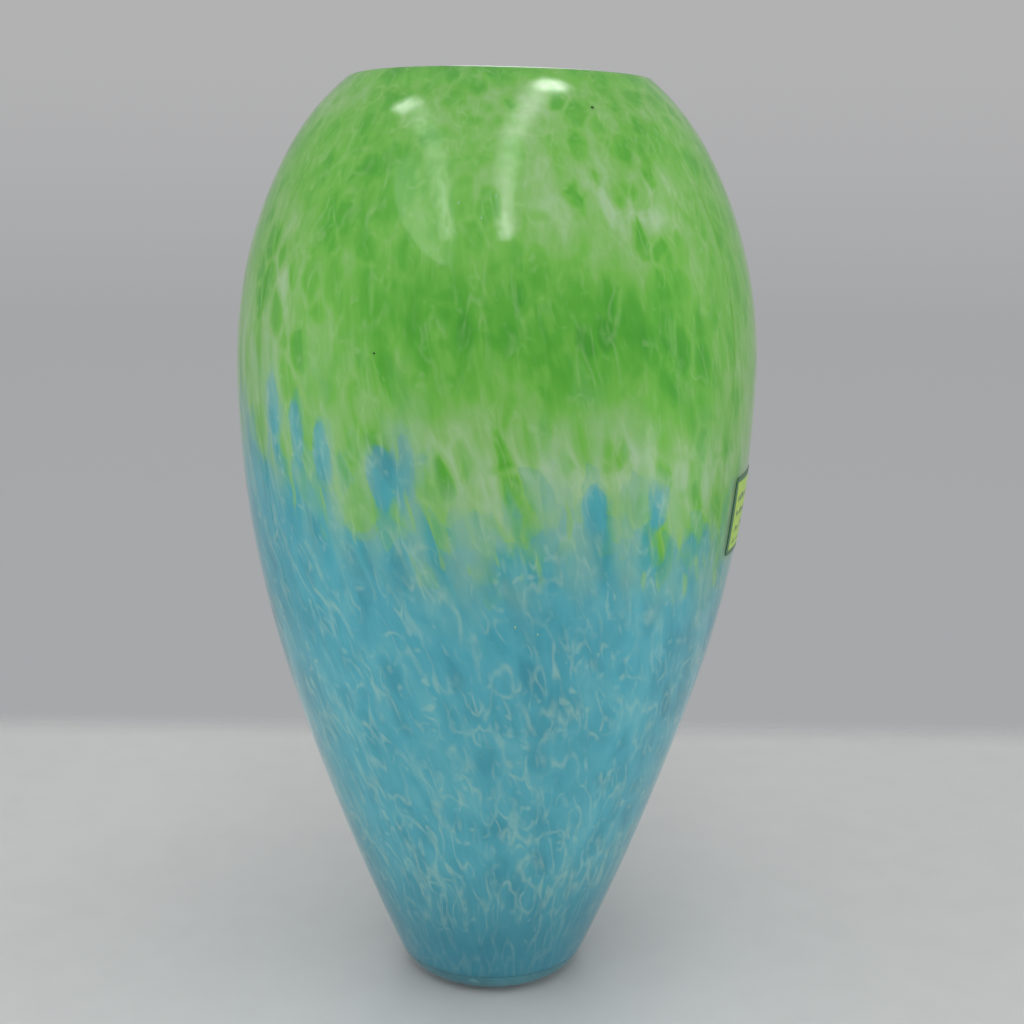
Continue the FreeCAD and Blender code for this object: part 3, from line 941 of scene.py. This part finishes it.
TEAL_CLOUDS = 90.0  # patches in a metre
TEAL_THREADS = 260.0
TEAL_DETAIL = 3.0
TEALS = [(0.30, 44, 104, 116), (0.70, 66, 130, 142)]
TEAL_THREAD = shade(120, 170, 172)
THREADS_SHOWN = (0.62, 0.72, 0.0, 0.35)

EDGE_SHADOW_REACH = (0.84, 0.90)  # parts of the label's half size, counted from its middle; the first pair is where the painted shadow along the label's edge begins
MARKS_END = (0.70, 0.76, 1.0, 0.0)
MARK_WAVE = 420.0  # patches in a metre
MARK_ROWS = 16.0
MARK_WOBBLE = 4.0
ROWS_SHOWN = (0.25, 0.60)
MARKS_SHOWN = (0.40, 0.52)
PAPER_FIBRES = 900.0
FIBRE_DETAIL = 4.0
FIBRE_BUMP = 0.15
FIBRE_DEPTH = 0.0001
PAPERS = [(0.3, 146, 184, 54), (0.7, 166, 202, 72)]
# the dark green of the marks, also used for the painted shadow along the label's edge
INK_AND_EDGE_SHADOW = shade(34, 92, 56)

SPECK_CLOUDS = 3000.0
SPECK_COLOURS = [(0.3, 18, 34, 20), (0.7, 40, 60, 36)]
# bubbles are painted pale: a painted glint off their walls
BUBBLE_CLOUDS = 2500.0
BUBBLE_GLINT_COLOURS = [(0.3, 150, 200, 150), (0.7, 200, 226, 200)]


def chip_glass(name):
    """Opaque coloured chips melted into glass."""
    material, graph = new_material(name)
    graph.finish(graph.principled(Base_Color=glass_colour(graph), Roughness=CHIP_ROUGHNESS))
    return material


def opal_glass():
    """The milky lining, with the chips showing faintly through it."""
    material, graph = new_material("opal_glass")
    colour = graph.blend(OPAL_MILK, glass_colour(graph), OPAL_WHITE)
    graph.finish(graph.principled(Base_Color=colour, Roughness=0.10, Coat_Weight=0.5,
                                  Coat_Roughness=0.04))
    return material


def clear_glass():
    """Clear glass that lets light through to the colour without a hard shadow."""
    material, graph = new_material("clear_glass")
    glass = graph.principled(Base_Color=CLEAR_TINT, Roughness=0.02, IOR=GLASS_IOR,
                             Transmission_Weight=1.0)
    shadow = graph.add("LightPath").outputs["Is Shadow Ray"]
    graph.finish(graph.part_clear(shadow, glass))
    return material


def teal_glass():
    """The solid foot: deep teal with soft clouds and a few pale threads."""
    material, graph = new_material("teal_glass")
    place = graph.place()
    clouds = graph.noise(place, TEAL_CLOUDS, TEAL_DETAIL)
    threads = graph.noise(place, TEAL_THREADS)
    colour = graph.blend(graph.ramp(threads, *THREADS_SHOWN), graph.colours(clouds, *TEALS),
                         TEAL_THREAD)
    graph.finish(graph.principled(Base_Color=colour, Roughness=0.07, Coat_Weight=0.3,
                                  Coat_Roughness=0.03))
    return material


def label_paper():
    """Glossy lime paper with plain abstract marks, and a painted shadow as a dark green band along its
    edge.
    """
    material, graph = new_material("label_paper")
    place = graph.place()
    down = graph.attribute("down")
    reach = graph.math("MAXIMUM", graph.math("ABSOLUTE", graph.attribute("across")),
                       graph.math("ABSOLUTE", down))
    wave = graph.noise(place, MARK_WAVE, 1.0)
    rows = graph.plus(graph.times(down, MARK_ROWS), graph.times(wave, MARK_WOBBLE))
    rows = graph.math("SINE", rows)
    marks = graph.times(graph.ramp(rows, *ROWS_SHOWN), graph.ramp(wave, *MARKS_SHOWN),
                        graph.ramp(reach, *MARKS_END))
    # the marks, and a painted shadow as a dark band along the label's edge
    ink_and_edge_shadow = graph.math("MAXIMUM", graph.ramp(reach, *EDGE_SHADOW_REACH), marks)
    fibres = graph.noise(place, PAPER_FIBRES, FIBRE_DETAIL)
    shader = graph.principled(Base_Color=graph.blend(ink_and_edge_shadow, graph.colours(fibres, *PAPERS), INK_AND_EDGE_SHADOW),
                              Roughness=0.32)
    bumps = graph.add("Bump", {"Height": fibres, "Strength": FIBRE_BUMP, "Distance": FIBRE_DEPTH})
    graph.feed(shader.inputs["Normal"], bumps.outputs[0])
    graph.finish(shader)
    return material


def bead_glass(name, clouds, colours, roughness):
    """The cloudy glass of tiny beads: dark crumbs, and bubbles painted pale, a painted glint off their
    walls.
    """
    material, graph = new_material(name)
    colour = graph.colours(graph.noise(graph.place(), clouds), *colours)
    graph.finish(graph.principled(Base_Color=colour, Roughness=roughness))
    return material


# ---- the vase

# Tiny trapped bubbles and dark crumbs: azimuth from the front, height, depth, radius, stretch.
BUBBLES = [
    (-8, 0.2620, 0.0016, 0.00030, 1.5),
    (-3, 0.2580, 0.0015, 0.00026, 1.4),
    (0, 0.2640, 0.0016, 0.00022, 1.6),
    (5, 0.1430, 0.0015, 0.00030, 1.5),
    (10, 0.1405, 0.0016, 0.00024, 1.5),
    (62, 0.2300, 0.0015, 0.00026, 1.6),
    (104, 0.1900, 0.0016, 0.00030, 1.4),
    (-96, 0.2450, 0.0015, 0.00028, 1.5),
    (160, 0.2100, 0.0016, 0.00030, 1.6),
    (-150, 0.1200, 0.0015, 0.00026, 1.5),
]
SPECKS = [
    (28, 0.2885, 0.0021, 0.00050, 0.7),
    (-24, 0.2210, 0.0021, 0.00036, 0.8),
    (140, 0.2700, 0.0021, 0.00040, 0.8),
]


def build_vase():
    green_glass = chip_glass("green_glass")
    blue_glass = chip_glass("blue_glass")
    add_piece("casing", turned_mesh("casing", casing_outline()), clear_glass(), "clear_glass",
              "clear_casing")
    layers = (
        ("green_layer", turned_mesh("green_layer", green_outline(), closed=True), green_glass,
         "green_glass", "green_colour_layer"),
        ("blue_layer", turned_mesh("blue_layer", blue_outline()), blue_glass,
         "blue_glass", "blue_colour_layer"),
        ("lining", turned_mesh("lining", lining_outline()), opal_glass(),
         "opal_glass", "inner_lining"),
    )
    for name, mesh, material, slot, node in layers:
        for field, measure in (("tone", tone_at), ("above", above_change_at), ("along", along_at)):
            store(mesh, field, [measure(vertex.co) for vertex in mesh.vertices])
        add_piece(name, mesh, material, slot, node)

    add_piece("foot", turned_mesh("foot", foot_outline()), teal_glass(), "teal_glass", "foot_button")
    add_piece("label", label_mesh(), label_paper(), "label_paper", "paper_label")
    # the bubbles are pale beads whose colour is a painted glint
    bubble_glints = bead_glass("bubble_glint_glass", BUBBLE_CLOUDS, BUBBLE_GLINT_COLOURS, 0.12)
    add_piece("air_bubbles", beads_mesh("air_bubbles", BUBBLES), bubble_glints, "clear_glass")
    specks = bead_glass("speck_glass", SPECK_CLOUDS, SPECK_COLOURS, 0.3)
    add_piece("dark_specks", beads_mesh("dark_specks", SPECKS), specks, "green_glass")


# ---- camera and floor

CAMERA_DISTANCE = 0.500
CAMERA_HEIGHT = 0.270
CAMERA_SIDE = 0.0054
CAMERA_PITCH = radians(12.4)
CAMERA_ROLL = radians(0.65)
FOCAL_RATIO = 1536 / 1024  # focal length over the width of the sensor
SENSOR = 36.0

FLOOR_REACH = 0.36
FLOOR_FADE = (0.205, 0.245)  # how far from the vase the floor fades out
FLOOR_CORNER_POWER = 20.0  # higher for sharper corners
FLOOR_NARROWING = 0.75
FLOOR_MARKS = 60.0  # patches in a metre
FLOOR_DETAIL = 5.0
FLOOR_COLOURS = [(0.3, 203, 204, 203), (0.7, 206, 207, 206)]
FLOOR_ROUGHNESS = 0.6


def add_camera():
    lens = bpy.data.cameras.new("camera")
    lens.sensor_width = SENSOR
    lens.lens = SENSOR * FOCAL_RATIO
    lens.clip_start = 0.01
    camera = new_object("camera", lens)
    tilt = Matrix.Rotation(pi / 2 - CAMERA_PITCH, 4, "X") @ Matrix.Rotation(CAMERA_ROLL, 4, "Z")
    camera.matrix_world = Matrix.Translation((CAMERA_SIDE, -CAMERA_DISTANCE, CAMERA_HEIGHT)) @ tilt
    bpy.context.scene.camera = camera


def add_floor():
    """A pale sheet that fades into the backdrop on every side, as the sweep behind it does."""
    mesh = bpy.data.meshes.new("floor")
    corners = [(-1, -1), (1, -1), (1, 1), (-1, 1)]
    mesh.from_pydata([(x * FLOOR_REACH, y * FLOOR_REACH, 0) for x, y in corners], [], [(0, 1, 2, 3)])
    floor = new_object("floor", mesh)
    material, graph = new_material("pale_floor")
    place = graph.place()
    across, deep = graph.split(place)[:2]
    powers = [graph.math("POWER", graph.math("ABSOLUTE", side), FLOOR_CORNER_POWER)
              for side in (graph.times(across, FLOOR_NARROWING), deep)]
    reach = graph.math("POWER", graph.plus(*powers), 1 / FLOOR_CORNER_POWER)
    colour = graph.colours(graph.noise(place, FLOOR_MARKS, FLOOR_DETAIL), *FLOOR_COLOURS)
    sheet = graph.principled(Base_Color=colour, Roughness=FLOOR_ROUGHNESS)
    graph.finish(graph.part_clear(graph.ramp(reach, *FLOOR_FADE), sheet))
    mesh.materials.append(material)


# ---- light

# Soft curved lights overhead. Their slant and bend are how far the far end leans and curves to the
# right, the slant in metres and the bend in widths, and a boost is how much brighter an end is.
STRIPS = [
    {"name": "left_strip", "place": (-0.255, -0.350, 0.70), "width": 0.15, "length": 0.78,
     "slant": 0.14, "bend": -0.93, "brightness": 2.2, "far_boost": 2.4, "near_boost": 0.0},
    {"name": "right_strip", "place": (0.060, -0.360, 0.71), "width": 0.14, "length": 0.86,
     "slant": -0.07, "bend": 1.40, "brightness": 3.3, "far_boost": 2.4, "near_boost": 0.6},
]
FACE_EDGE = 0.5  # from the middle of a light's face to its edge
STRIP_MIDDLE = 0.02  # and to the end of the part that is even
FAR_END = 0.06  # lengths of the bright ends and of the soft ends
NEAR_END = 0.12
SOFT_END = 0.06
BEND_POWER = 3.0
LIGHT_PATCH = 0.045  # size of the bright and dim patches
LIGHT_PATCHES = (0.36, 0.64, 0.75, 1.20)

# A dim panel with a round outline, overhead to the left.
PANEL_PLACE = (-0.385, -0.61, 0.72)
PANEL_WIDTH = 0.34
PANEL_LENGTH = 0.82
PANEL_BRIGHTNESS = 1.4
PANEL_EDGE = (0.40, FACE_EDGE, 1.0, 0.0)
PANEL_FADE = (0.20, 0.90, 1.0, 0.30)

# Large soft fills that the glass doesn't mirror: place, the point they face, size and brightness.
FILLS = [
    ("front_fill", (0.0, -1.3, 0.20), (0.0, 0.0, 0.12), 1.2, 2.0),
    ("left_fill", (-1.2, -0.1, 0.12), (0.0, 0.0, 0.12), 1.0, 1.4),
    ("right_fill", (1.2, -0.1, 0.12), (0.0, 0.0, 0.12), 1.0, 2.1),
    ("back_fill", (0.0, 1.3, 0.30), (0.0, 0.0, 0.12), 1.0, 1.4),
    ("top_fill", (0.0, -0.4, 1.4), (0.0, 0.0, 0.0), 1.0, 1.0),
]

# A narrow light behind, which only the glass mirrors: it draws the bright line along the lip.
LIP_LIGHT_PLACE = (0.010, 0.80, 0.80)
LIP_LIGHT_WIDTH = 0.16
LIP_LIGHT_LENGTH = 0.90
LIP_LIGHT_BRIGHTNESS = 2.2

# The light tent: its grey behind the vase by the height of a direction, and its light.
BACKDROP_HEIGHTS = (-0.30, 0.10)
BACKDROPS = [(0.0, 166, 168, 170), (0.55, 165, 166, 168), (1.0, 178, 178, 179)]
TENT_LIGHT = (0.40, 0.403, 0.405, 1)
TENT_BLACK = (0, 0, 0, 1)
TENT_FRONT = (-0.85, -0.10, 0.65, 1.0)  # darker towards the opening
TENT_TOP = (0.0, 0.9, 1.0, 1.7)  # brighter above
TENT_BOTTOM = (-0.25, 0.0, 0.18, 0.0)  # and a little brighter below
CORNER_TURN = radians(56)  # where the tent's back corners stand, from +Y
CORNER_SEAM = (0.0, 0.035, 0.35, 1.0)


def area_light(name, width, length, brightness):
    """A rectangular light whose brightness is that of the white surface it stands for."""
    light = bpy.data.lights.new(name, "AREA")
    light.shape = "RECTANGLE"
    light.size = width
    light.size_y = length
    light.energy = brightness * pi * width * length
    lamp = new_object(name, light)
    lamp.visible_camera = False
    return lamp


def aim(lamp, place, target):
    lamp.location = place
    lamp.rotation_euler = (Vector(target) - Vector(place)).to_track_quat("-Z", "Y").to_euler()


def add_fill(name, place, target, size, brightness):
    lamp = area_light(name, size, size, brightness)
    aim(lamp, place, target)
    lamp.visible_glossy = False
    lamp.visible_transmission = False


def add_lip_light():
    lamp = area_light("lip_light", LIP_LIGHT_WIDTH, LIP_LIGHT_LENGTH, LIP_LIGHT_BRIGHTNESS)
    aim(lamp, LIP_LIGHT_PLACE, (0.0, 0.0, HEIGHT))
    lamp.visible_diffuse = False


def light_face(lamp):
    """The graph of a light, and the place on its face from 0 to 1."""
    graph = Graph(lamp.data)
    return graph, graph.add("NewGeometry").outputs["Parametric"]


def light_up(graph, strength):
    graph.finish(graph.add("Emission", {"Strength": strength}), "OutputLight")


def add_strip(name, place, width, length, slant, bend, brightness, far_boost, near_boost):
    """A soft edged, patchy light overhead, running from above the vase towards the front."""
    room = 1 + 2 * abs(bend)
    wide = width * room
    lamp = area_light(name, wide, length, brightness)
    graph, face = light_face(lamp)
    across, along = graph.split(face)[:2]
    across = graph.math("MULTIPLY_ADD", graph.minus(across, MIDDLE), room, MIDDLE)
    across = graph.math("MULTIPLY_ADD", graph.math("POWER", along, BEND_POWER), -bend, across)
    across = graph.plus(across, bend / (BEND_POWER + 1))
    side = graph.ramp(graph.away(across, MIDDLE), STRIP_MIDDLE, FACE_EDGE, 1.0, 0.0)
    end = graph.ramp(graph.away(along, MIDDLE), FACE_EDGE - SOFT_END / length, FACE_EDGE, 1.0, 0.0)
    far = graph.ramp(along, 1.0 - 2 * FAR_END / length, 1.0 - FAR_END / length, 1.0, 1.0 + far_boost)
    near = graph.ramp(along, NEAR_END / length, 2 * NEAR_END / length, 1.0 + near_boost, 1.0)
    patches = graph.vector("MULTIPLY", face, (wide / LIGHT_PATCH, length / LIGHT_PATCH, 1.0))
    patchy = graph.ramp(graph.noise(patches, 1.0), *LIGHT_PATCHES)
    light_up(graph, graph.times(side, end, patchy, far, near))
    turn = Matrix.Rotation(-atan2(slant, length), 4, "Z")
    lamp.matrix_world = Matrix.Translation(place) @ turn


def add_panel():
    lamp = area_light("left_panel", PANEL_WIDTH, PANEL_LENGTH, PANEL_BRIGHTNESS)
    graph, face = light_face(lamp)
    across, along = graph.split(face)[:2]
    side = graph.minus(across, MIDDLE)
    end = graph.minus(along, MIDDLE)
    reach = graph.math("SQRT", graph.plus(graph.times(side, side), graph.times(end, end)))
    light_up(graph, graph.times(graph.ramp(reach, *PANEL_EDGE), graph.ramp(across, *PANEL_FADE)))
    lamp.location = PANEL_PLACE


def add_world():
    """A white light tent: bright above, grey at the sides and back, dark towards the opening."""
    world = bpy.data.worlds.new("tent")
    bpy.context.scene.world = world
    graph = Graph(world)
    across, back, up = graph.split(graph.add("TexCoord").outputs["Generated"])
    backdrop = graph.colours(graph.ramp(up, *BACKDROP_HEIGHTS), *BACKDROPS)
    high = graph.plus(graph.ramp(up, *TENT_TOP), graph.ramp(up, *TENT_BOTTOM))
    turn = graph.math("ARCTAN2", graph.math("ABSOLUTE", across), back)
    seam = graph.ramp(graph.away(turn, CORNER_TURN), *CORNER_SEAM)
    light = graph.times(graph.ramp(back, *TENT_FRONT), high, seam)
    tent = graph.blend(light, TENT_BLACK, TENT_LIGHT)
    camera_ray = graph.add("LightPath").outputs["Is Camera Ray"]
    shine = graph.add("Background", {"Color": graph.blend(camera_ray, tent, backdrop)})
    graph.finish(shine, "OutputWorld")


build_vase()
add_camera()
add_floor()
for strip in STRIPS:
    add_strip(**strip)
add_panel()
for fill in FILLS:
    add_fill(*fill)
add_lip_light()
add_world()
scene = bpy.context.scene
scene.view_settings.view_transform = "Standard"
scene.cycles.use_denoising = True
scene.cycles.max_bounces = 10
scene.cycles.transmission_bounces = 8
scene.cycles.transparent_max_bounces = 12
